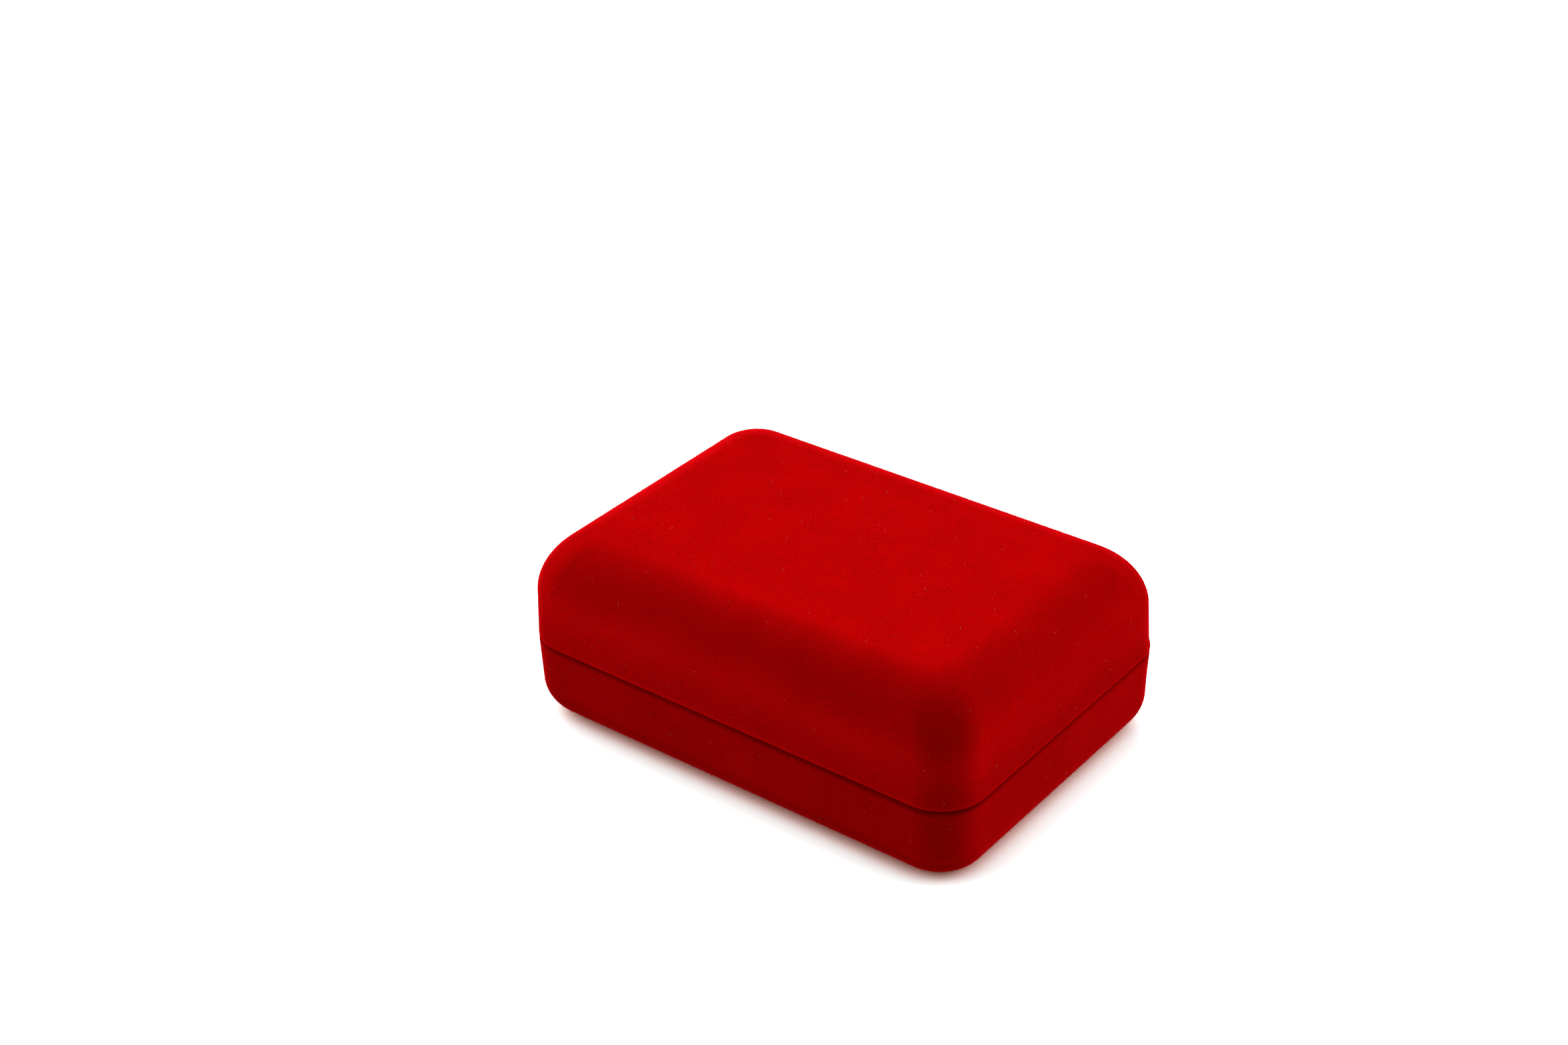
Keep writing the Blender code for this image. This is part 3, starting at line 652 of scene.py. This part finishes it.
def bent_sheet(name, outlines, path, sheet, softened):
    """Sheet metal cut to outlines, bent along a path in Y and Z and softened at its edges, in mm.

    The first outline is the sheet's own and the others are holes. X runs along the bends, and Y is the
    length along the path.
    """
    bm = bmesh.new()
    edges = []
    for outline in outlines:
        verts = [bm.verts.new((x, y, 0.0)) for x, y in outline]
        edges += [bm.edges.new(pair) for pair in zip(verts, verts[1:] + verts[:1])]
    bmesh.ops.triangle_fill(bm, use_beauty=True, edges=edges)
    path = np.array(path)
    along = np.concatenate([[0.0], np.cumsum(np.hypot(*np.diff(path, axis=0).T))])
    for length in along[1:-1]:
        cut = dict(plane_co=(0.0, length, 0.0), plane_no=(0.0, 1.0, 0.0), dist=0.03)
        bmesh.ops.bisect_plane(bm, geom=bm.verts[:] + bm.edges[:] + bm.faces[:], **cut)
    bmesh.ops.dissolve_degenerate(bm, dist=0.01, edges=bm.edges[:])
    for vert in bm.verts:
        length = vert.co.y
        y, z = (np.interp(length, along, path[:, side]) for side in (0, 1))
        vert.co = (vert.co.x * MM, y * MM, z * MM)
    bmesh.ops.recalc_face_normals(bm, faces=bm.faces)
    mesh = bpy.data.meshes.new(name)
    bm.to_mesh(mesh)
    bm.free()
    obj = add_piece(name, mesh)
    thick = obj.modifiers.new("sheet", "SOLIDIFY")
    thick.thickness = sheet * MM
    thick.offset = 0.0
    thick.use_even_offset = True
    worn = obj.modifiers.new("worn_edges", "BEVEL")
    worn.width = softened * MM
    worn.segments = 2
    worn.angle_limit = math.radians(55)
    settle(obj)
    turn_outwards(obj.data)
    return obj


def make_leaf(name, side, knuckles_outside):
    """One leaf, with a hook, drawn about the hinge line and moved there."""
    path = [(leg_y, leaf_leg)]
    path += arc((leg_y + bend, curl + bend), bend, 180, 270, 9)
    path += arc((0.0, 0.0), curl, 90, 90 - curl_turn, 34)
    leg = leaf_leg - curl - bend
    shoulder = leg + bend * math.pi / 2 + shoulder_rise
    end = shoulder - shoulder_rise - leg_y - bend + curl * math.radians(curl_turn)
    if knuckles_outside:
        middle = knuckle_half + knuckle_play
        top = [(leaf_side, end, tip_corner), (middle, end, tip_corner), (middle, shoulder, notch_corner)]
    else:
        middle = knuckle_half - knuckle_play
        top = [(leaf_side, shoulder, notch_corner), (middle, shoulder, notch_corner)]
        top.append((middle, end, tip_corner))
    foot = [(-leaf_side, 0.0, foot_corner), (leaf_side, 0.0, foot_corner)]
    mirrored = [(-x, y, radius) for x, y, radius in reversed(top)]
    outline = rounded(foot + top + mirrored)
    root = leaf_leg - hook_depth
    window = slot_in(window_half, root - window_below, root + window_above, window_corner)
    leaf_path = [(y, side * z) for y, z in path]
    leaf = bent_sheet(name, [outline, window], leaf_path, leaf_sheet, leaf_softened)

    tongue_path = [(leg_y, hook_depth + hook_root)]
    tongue_path += arc((leg_y - hook_bend, hook_depth + hook_bend), hook_bend, 0, -90, 6)
    lip_centre = (hook_lip_y + hook_bend, hook_depth + hook_bend)
    tongue_path += arc(lip_centre, hook_bend, 270, 180, 6)
    tongue_path += [(hook_lip_y, hook_tip)]
    length = path_length(tongue_path)
    tongue_root = [(-tongue_half, 0.0, 0.0), (tongue_half, 0.0, 0.0)]
    tongue_end = [(tongue_half, length, tongue_corner), (-tongue_half, length, tongue_corner)]
    outlines = [rounded(tongue_root + tongue_end)]
    tongue_path = [(y, side * z) for y, z in tongue_path]
    tongue = bent_sheet("tongue", outlines, tongue_path, leaf_sheet - tongue_thinner, leaf_softened)
    carve(leaf, "UNION", tongue)
    leaf.data.transform(Matrix.Translation(hinge_line))
    turn_outwards(leaf.data)
    return leaf


base_leaf = make_leaf("base_leaf", -1, True)
lid_leaf = make_leaf("lid_leaf", 1, False)


def metal_group():
    """Drawing marks and dull spots on rolled metal, as a roughness and a height for a bump."""
    inputs = {"Roughness": 0.3, "Spread": 0.1, "Mark Size": 0.3}
    outputs = {"Roughness": 0.3, "Height": 0.0}
    tree, given, made = new_tree("rolled_metal", "ShaderNodeTree", inputs, outputs)
    place = add_node(tree, "ShaderNodeTexCoord").outputs["Object"]
    drawn = add_node(tree, "ShaderNodeMapping", {"Vector": place, "Scale": (0.12, 1.0, 1.0)}).outputs[0]
    scale = noise_scale(tree, given.outputs["Mark Size"])
    marks = Field(add_node(tree, "ShaderNodeTexNoise", {0: drawn, "Scale": scale, "Detail": 4.0}).outputs[0])
    spots = {0: place, "Scale": scale / 8.0, "Detail": 3.0}
    spots = Field(add_node(tree, "ShaderNodeTexNoise", spots).outputs[0])
    share = (marks + spots - 1.0) * Field(given.outputs["Spread"])
    plug(Field(given.outputs["Roughness"]) + share, made.inputs["Roughness"])
    plug(marks, made.inputs["Height"])
    return tree


rolled_metal = metal_group()


def marked_material(name, constants, roughness, spread, mark_size, bump):
    """A material with the marks of rolled metal, or of a tight weave, in its gloss."""
    material, shader = shaded(name, constants)
    marks = {"Roughness": roughness, "Spread": spread, "Mark Size": mark_size}
    group = add_node(material.node_tree, "ShaderNodeGroup", marks, node_tree=rolled_metal)
    plug(group.outputs["Roughness"], shader.inputs["Roughness"])
    add_bump(shader, group.outputs["Height"], bump, 0.02 * MM)
    return material


look = {"Base Color": (0.66, 0.63, 0.58, 1.0), "Metallic": 1.0}
nickel = marked_material("nickel_plate", look, roughness=0.27, spread=0.2, mark_size=0.25, bump=0.15)
for leaf, body, node in ((base_leaf, "base", "hinge_leaf_base"), (lid_leaf, "lid", "hinge_leaf_lid")):
    leaf.data.materials.append(nickel)
    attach(leaf, body)
    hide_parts(node)


# The hinge pin
# A cut length of plated wire, pushed through the knuckles and struck at both ends, so that each end
# is spread a little and can't slip back.

# The right end's outline, as places along the pin and radii in mm
struck = [(12.22, 0.0), (12.22, 0.36), (12.17, 0.58), (12.09, 0.7), (12.03, 0.7), (11.99, 0.55)]
wire = [(x * MM, 0.0, r * MM) for x, r in struck] + [(-x * MM, 0.0, r * MM) for x, r in struck[::-1]]
pin = add_piece("pin", plain_mesh("pin", wire, [(i, i + 1) for i in range(len(wire) - 1)]))
turned = pin.modifiers.new("turned", "SCREW")
turned.axis = "X"
turned.steps = turned.render_steps = 28
turned.use_merge_vertices = True
turned.merge_threshold = hair
settle(pin)
pin.data.transform(Matrix.Translation(hinge_line))
turn_outwards(pin.data)
pin.data.materials.append(nickel)
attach(pin, "base")
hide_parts("hinge_pin")


# The snap spring
# A strip of blue-grey spring steel with an eye at each end. The eyes hang on the leaves' hooks, and
# the strip bows into the box between them. The real strip bends as the lid turns, which snaps the lid shut.

_, spring_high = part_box("snap_spring")
spring_reach = (spring_high.z - seam) / MM
spring_side = spring_high.x / MM
spring_y, bow, bow_half = -3.275, 1.0, 5.5
eye_half, eye_length, eye_corner, strip_corner = 2.0, 1.1, 0.3, 1.3
bowed = []
for z in np.linspace(-bow_half, bow_half, 33):
    bowed.append((spring_y - bow / 2 * (1.0 + math.cos(math.pi * z / bow_half)), z))
bowed = [(spring_y, -spring_reach)] + bowed + [(spring_y, spring_reach)]
strip_length = path_length(bowed)
tail = spring_reach - bow_half
strip = slot_in(spring_side, 0.0, strip_length, strip_corner)
lower_eye = slot_in(eye_half, tail - eye_length, tail, eye_corner)
upper_end = strip_length - tail
upper_eye = slot_in(eye_half, upper_end, upper_end + eye_length, eye_corner)
spring = bent_sheet("spring", [strip, lower_eye, upper_eye], bowed, sheet=0.35, softened=0.05)
spring.data.transform(Matrix.Translation(hinge_line))
look = {"Base Color": (0.27, 0.29, 0.33, 1.0), "Metallic": 1.0}
blued = marked_material("spring_blue", look, roughness=0.33, spread=0.25, mark_size=0.2, bump=0.15)
spring.data.materials.append(blued)
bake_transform(spring)
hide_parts("snap_spring")


# The insert's card and foam
# A platform of grey board, folded down at its four sides to stand on the rounded bottom, carries a
# pad of white foam glued to it. Both have two slots punched through for the cufflinks' bars, and a
# notch that clears the hinge.

# The pads' rows hold heights above the table
upright = dict(rim=0.0, side=1)
slot_half_width, slot_half_length, slot_place = 3.3 * MM, 10.0 * MM, 17.0 * MM
notch_half, notch_front = leaf_half + play + 2.1 * MM, seat_front - 0.5 * MM


def pad_rows(inset, corner, foot, edge, crown, shoulder, steps=16):
    """A pad from the middle of its foot, up its edge and over its shoulder to its crowned middle."""
    rows = [(box_half_depth, least_corner, foot, 0.0), (inset, corner, foot, 0.0)]
    rows.append((inset, corner, edge, 0.0))
    for angle in np.linspace(0.0, math.pi / 2, steps)[1:]:
        more = shoulder * (1.0 - math.cos(angle))
        rows.append((inset + more, corner - more / 2, edge + (crown - edge) * math.sin(angle), 0.0))
    return rows + [(box_half_depth, least_corner, crown, 0.0)]


def punch(obj, margin):
    """Cuts both cufflink slots and the notch for the hinge, each wider all round by a margin."""
    half_width, half_length = slot_half_width + margin, slot_half_length + margin
    for place in (-slot_place, slot_place):
        outline = slot_in(half_width, -half_length, half_length, half_width - hair)
        bm = bmesh.new()
        face = bm.faces.new([bm.verts.new((x + place, y, -wall)) for x, y in outline])
        drawn = bmesh.ops.extrude_face_region(bm, geom=[face])["geom"]
        top = [item for item in drawn if isinstance(item, bmesh.types.BMVert)]
        bmesh.ops.translate(bm, vec=(0.0, 0.0, lid_top), verts=top)
        bmesh.ops.recalc_face_normals(bm, faces=bm.faces)
        mesh = bpy.data.meshes.new("slot")
        bm.to_mesh(mesh)
        bm.free()
        carve(obj, "DIFFERENCE", add_piece("slot", mesh))
    low = (-notch_half - margin, notch_front - margin, -wall)
    carve(obj, "DIFFERENCE", block(low, (notch_half + margin, box_half_depth, lid_top)))


def soften(obj, voxel, rounds):
    """Makes one even skin of a solid and rounds its edges."""
    even = obj.modifiers.new("even_skin", "REMESH")
    even.mode = "VOXEL"
    even.voxel_size = voxel
    even.use_smooth_shade = True
    eased = obj.modifiers.new("eased", "SMOOTH")
    eased.factor = 0.5
    eased.iterations = rounds
    return settle(obj)


foam_low, foam_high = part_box("insert_foam")
rows = pad_rows(
    inset=3.3 * MM, corner=5.7 * MM, foot=foam_low.z, edge=foam_low.z + 2.2 * MM, crown=foam_high.z,
    shoulder=7.0 * MM,
)
foam = go_round("foam", rows, upright)
punch(foam, margin=0.8 * MM)
soften(foam, voxel=0.7 * MM, rounds=4)


def bitty_group():
    """Small lumps and patches in a plain material, as a colour and a height for a bump."""
    inputs = {"Colour": (0.5, 0.5, 0.5, 1.0), "Lump Size": 0.4, "Contrast": 0.2}
    tree, given, made = new_tree(
        "bitty", "ShaderNodeTree", inputs, {"Colour": (0.0, 0.0, 0.0, 1.0), "Height": 0.0}
    )
    place = add_node(tree, "ShaderNodeTexCoord").outputs["Object"]
    scale = noise_scale(tree, given.outputs["Lump Size"])
    lumps = add_node(tree, "ShaderNodeTexVoronoi", {"Vector": place, "Scale": scale})
    lumps = Field(lumps.outputs["Distance"])
    bits = add_node(tree, "ShaderNodeTexNoise", {"Vector": place, "Scale": scale / 2.0, "Detail": 5.0})
    bits = Field(bits.outputs[0])
    shade = (bits - 0.5) * Field(given.outputs["Contrast"]) + 1.0
    plug(scaled(tree, given.outputs["Colour"], shade), made.inputs["Colour"])
    plug(lumps + bits, made.inputs["Height"])
    return tree


bitty = bitty_group()


def bitty_material(name, colour, lump_size, contrast, bump):
    material, shader = shaded(name, {"Roughness": 0.92, "Specular IOR Level": 0.25})
    bits = {"Colour": (*colour, 1.0), "Lump Size": lump_size, "Contrast": contrast}
    group = add_node(material.node_tree, "ShaderNodeGroup", bits, node_tree=bitty)
    plug(group.outputs["Colour"], shader.inputs["Base Color"])
    add_bump(shader, group.outputs["Height"], bump, 0.1 * MM)
    return material


white_foam = bitty_material("soft_foam", (0.80, 0.79, 0.73), lump_size=0.45, contrast=0.15, bump=0.6)
grey_board = bitty_material("grey_board", (0.42, 0.39, 0.34), lump_size=0.3, contrast=0.5, bump=0.25)
foam.data.materials.append(white_foam)
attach(foam, "base")
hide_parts("insert_foam")
for node in ("insert_card", "liner_card"):
    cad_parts[node].material_slots[0].material = grey_board


# The velvet cover
# Red velvet drawn tight over the foam and tucked down through both slots, with its hem turned under
# the card. It swells a little between the slots and dips where it goes into them.


def points_of(mesh):
    flat = np.empty(len(mesh.vertices) * 3)
    mesh.vertices.foreach_get("co", flat)
    return flat.reshape(-1, 3)


def swell(obj, pressure, slack, cap, free, frames=20, enlarged=10.0):
    """Blender's Cloth swells a skin at ten times its size, and no point moves further than `cap`.

    `free` says how far each point may move, from 0 to 1. `slack` is how much wider the cloth is cut.
    """
    before = points_of(obj.data)
    obj.data.transform(Matrix.Scale(enlarged, 4))
    group = obj.vertex_groups.new(name="held")
    for level_held in np.unique(np.round(1.0 - free, 1)):
        chosen = np.flatnonzero(np.round(1.0 - free, 1) == level_held)
        group.add(chosen.tolist(), float(level_held), "REPLACE")
    cloth = obj.modifiers.new("cloth", "CLOTH")
    cloth.settings.quality = 6
    cloth.settings.vertex_group_mass = "held"
    cloth.settings.use_pressure = True
    cloth.settings.uniform_pressure_force = pressure
    cloth.settings.shrink_min = -slack
    cloth.settings.effector_weights.gravity = 0.0
    cloth.point_cache.frame_start, cloth.point_cache.frame_end = 1, frames
    for number in range(1, frames + 1):
        bpy.context.scene.frame_set(number)
    settle(obj)
    moves = points_of(obj.data) / enlarged - before
    length = np.maximum(np.linalg.norm(moves, axis=1), 1e-9)
    moves *= (cap * np.tanh(length / cap) / length)[:, None] * np.clip(free, 0.0, 1.0)[:, None]
    obj.data.vertices.foreach_set("co", (before + moves).ravel())
    obj.data.update()
    obj.vertex_groups.clear()


def open_below(obj, height, up=1):
    """Cuts a skin off at a height and leaves it open there."""
    bm = bmesh.new()
    bm.from_mesh(obj.data)
    geometry = bm.verts[:] + bm.edges[:] + bm.faces[:]
    cut = dict(plane_co=(0.0, 0.0, height), plane_no=(0.0, 0.0, up), clear_inner=True)
    bmesh.ops.bisect_plane(bm, geom=geometry, dist=0.01 * MM, **cut)
    bm.to_mesh(obj.data)
    bm.free()


def thicken(obj, thickness):
    """Gives an open skin its thickness, inwards."""
    skin = obj.modifiers.new("skin", "SOLIDIFY")
    skin.thickness = thickness
    skin.offset = -1.0
    settle(obj)
    obj.data.shade_smooth()


cover_low, cover_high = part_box("insert_cover")
rows = pad_rows(
    inset=2.5 * MM, corner=6.5 * MM, foot=cover_low.z - MM, edge=cover_high.z - 1.7 * MM,
    crown=cover_high.z, shoulder=7.0 * MM,
)
cover = go_round("cover", rows, upright)
punch(cover, margin=0.0)
soften(cover, voxel=0.55 * MM, rounds=5)
open_below(cover, cover_low.z)

# The cover is held from its hem up to a depth under its top, and comes free over the next stretch
held_under, freed_over = 2.4 * MM, 1.6 * MM
heights = points_of(cover.data)[:, 2]
free = np.clip((heights - cover_high.z + held_under) / freed_over, 0.0, 1.0)
swell(cover, pressure=3.0, slack=0.02, cap=0.35 * MM, free=free)
thicken(cover, 0.42 * MM)
velvet_stops = [(0.05, (0.17, 0.0008, 0.0015)), (0.5, (0.34, 0.0015, 0.003)), (1.0, (0.62, 0.008, 0.014))]
cover.data.materials.append(pile_material("cover_velvet", velvet_stops, bump=0.6))
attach(cover, "base")
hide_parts("insert_cover")


# The lid's liner
# A card glued to the ceiling carries a thin wad, and ivory satin cut a little too wide is drawn over
# both and glued behind the card, so that it puckers in from the edges.

wadding_low, wadding_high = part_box("liner_wadding")
satin_low, satin_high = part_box("liner_satin")
wad_inset = box_half_depth - wadding_high.y
rows = pad_rows(
    inset=wad_inset, corner=6.6 * MM, foot=wadding_high.z, edge=wadding_high.z - 0.5 * MM,
    crown=wadding_low.z, shoulder=9.0 * MM,
)
wadding = go_round("wadding", rows, upright)
soften(wadding, voxel=0.7 * MM, rounds=3)
wadding.data.materials.append(white_foam)
satin_inset = box_half_depth - satin_high.y
rows = pad_rows(
    inset=satin_inset, corner=7.0 * MM, foot=satin_high.z + MM, edge=wadding_high.z - 1.2 * MM,
    crown=satin_low.z + 0.3 * MM, shoulder=9.0 * MM,
)
satin = go_round("satin", rows, upright)
soften(satin, voxel=0.5 * MM, rounds=3)
open_below(satin, satin_high.z, up=-1)

# The satin is held behind its edge in the same way, and comes free over the next stretch
held_behind, freed_over = 1.0 * MM, 1.5 * MM
heights = points_of(satin.data)[:, 2]
free = np.clip((satin_high.z - held_behind - heights) / freed_over, 0.0, 1.0)
swell(satin, pressure=4.0, slack=0.08, cap=0.6 * MM, free=free)
thicken(satin, 0.3 * MM)
look = {"Base Color": (0.86, 0.80, 0.67, 1.0), "Sheen Weight": 0.25, "Specular IOR Level": 0.6}
look["Anisotropic"] = 0.5
weave = marked_material("satin_weave", look, roughness=0.4, spread=0.12, mark_size=0.12, bump=0.2)
satin.data.materials.append(weave)
for piece, node, finish, fill in (
    (wadding, "liner_wadding", "white_foam", 0.8), (satin, "liner_satin", "ivory_satin", 0.7)
):
    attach(piece, "lid")
    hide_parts(node)


# The table
# A plain white sheet that the box stands on. It shows white to the camera and keeps the box's shadow.
# Near the box it also carries painted shadow, deeper and redder in the narrow gap under the box's
# rounded foot.


def seen(tree):
    """Whether a ray comes from the camera, straight or by way of a gloss or a clear thing."""
    rays = add_node(tree, "ShaderNodeLightPath").outputs
    straight_or_mirrored = Field(rays["Is Camera Ray"]).math("MAXIMUM", rays["Is Glossy Ray"])
    return straight_or_mirrored.math("MAXIMUM", rays["Is Transmission Ray"])


def bright_surface(name, brightness, gap_reach, painted_shadow_stops, sent_colour):
    """White where it is looked at or mirrored, and a duller colour for the light it sends back.

    Its colour stops paint shadow into the white, from where a thing nearly touches the surface to where
    nothing stands within `gap_reach`.
    """
    material = bpy.data.materials.new(name)
    material.use_nodes = True
    tree = material.node_tree
    tree.nodes.remove(tree.nodes["Principled BSDF"])
    # Painted shadow: the white is darkened and tinted where things stand close over it.
    open_share = add_node(tree, "ShaderNodeAmbientOcclusion", {"Distance": gap_reach}).outputs["AO"]
    gap = add_node(tree, "ShaderNodeValToRGB", {0: open_share})
    set_stops(gap.color_ramp, painted_shadow_stops)
    white_with_painted_shadow = scaled(tree, gap.outputs[0], brightness)
    dull = add_node(tree, "ShaderNodeBsdfDiffuse", {"Color": (*sent_colour, 1.0)})
    white = add_node(tree, "ShaderNodeBsdfDiffuse", {"Color": white_with_painted_shadow})
    mixed = {0: seen(tree), 1: dull.outputs[0], 2: white.outputs[0]}
    mixed = add_node(tree, "ShaderNodeMixShader", mixed).outputs[0]
    plug(mixed, tree.nodes["Material Output"].inputs[0])
    return material


table_half = 1.6
corners = [(x * table_half, y * table_half, 0.0) for x, y in ((-1, -1), (1, -1), (1, 1), (-1, 1))]
table = add_piece("table", plain_mesh("table", corners, faces=[(0, 1, 2, 3)]))
# Painted shadow under the box's foot, from deep red-brown where the box nearly touches to white.
painted_shadow_stops = [
    (0.17, (0.50, 0.27, 0.23)),
    (0.22, (0.55, 0.36, 0.31)),
    (0.27, (0.64, 0.47, 0.42)),
    (0.32, (0.72, 0.60, 0.56)),
    (0.37, (0.76, 0.71, 0.67)),
    (0.43, (0.78, 0.78, 0.75)),
    (0.5, (0.77, 0.82, 0.81)),
    (0.62, (0.75, 0.87, 0.86)),
    (0.8, (1.0, 1.0, 1.0)),
]
white_table = bright_surface(
    "white_table", brightness=2.4, gap_reach=7.0 * MM, painted_shadow_stops=painted_shadow_stops, sent_colour=(0.3, 0.3, 0.3)
)
table.data.materials.append(white_table)


# The light
# Broad soft lights behind the box at both sides and at its left and front, a small one overhead, and
# a plain surround.


def soft_light(name, place, width, power):
    """A square of light that faces the middle of the table."""
    lamp = bpy.data.lights.new(name, "AREA")
    lamp.shape = "RECTANGLE"
    lamp.size = lamp.size_y = width
    lamp.energy = power
    obj = add_piece(name, lamp)
    obj.location = place
    obj.rotation_euler = (middle_of_table - Vector(place)).to_track_quat("-Z", "Y").to_euler()


middle_of_table = Vector((0.0, 0.0, 0.0))
for name, place, width, power in (
    ("overhead", (0.1, -0.1, 0.6), 0.5, 0.64),
    ("back_left", (-1.36, 1.2, 0.88), 1.28, 17.6),
    ("back_right", (1.36, 1.2, 0.88), 1.28, 12.1),
    ("left", (-1.15, 0.0, 0.5), 0.9, 4.2),
    ("front_left", (-0.75, -0.9, 0.6), 0.8, 4.4),
    ("right", (1.15, 0.0, 0.5), 0.9, 1.8),
):
    soft_light(name, place, width, power)

surround = bpy.data.worlds.new("surround")
bpy.context.scene.world = surround
surround.use_nodes = True
sky = surround.node_tree
surround_level = 0.33  # what it sends to the box; to the camera it is white
plug(seen(sky) * (1.0 - surround_level) + surround_level, sky.nodes["Background"].inputs["Strength"])
sky.nodes["Background"].inputs["Color"].default_value = (1.0, 1.0, 1.0, 1.0)
bpy.context.scene.view_settings.view_transform = "Standard"


# The camera
# It stands where the photo's outline and seam put it, about 40 cm from the box and above its front
# right corner, and is rolled a little to its side.

view_round, view_above, view_roll = (math.radians(angle) for angle in (38.906, 30.878, -1.885))
camera_distance, aim_height, aim_left, aim_up = 397.82 * MM, 15.0 * MM, 9.049 * MM, 17.818 * MM
back = Vector((
    math.sin(view_round) * math.cos(view_above),
    -math.cos(view_round) * math.cos(view_above),
    math.sin(view_above),
))
level_right = (-back).cross(Vector((0.0, 0.0, 1.0))).normalized()
level_up = level_right.cross(-back)
right = math.cos(view_roll) * level_right + math.sin(view_roll) * level_up
up = math.cos(view_roll) * level_up - math.sin(view_roll) * level_right
aim = Vector((0.0, 0.0, aim_height)) - aim_left * right + aim_up * up
camera = add_piece("camera", bpy.data.cameras.new("camera"))
turned = Matrix((right, up, back)).transposed().to_4x4()
camera.matrix_world = Matrix.Translation(aim + camera_distance * back) @ turned
camera.data.sensor_width = 36.0
camera.data.lens = 57.185
camera.data.clip_start = 0.01
bpy.context.scene.camera = camera
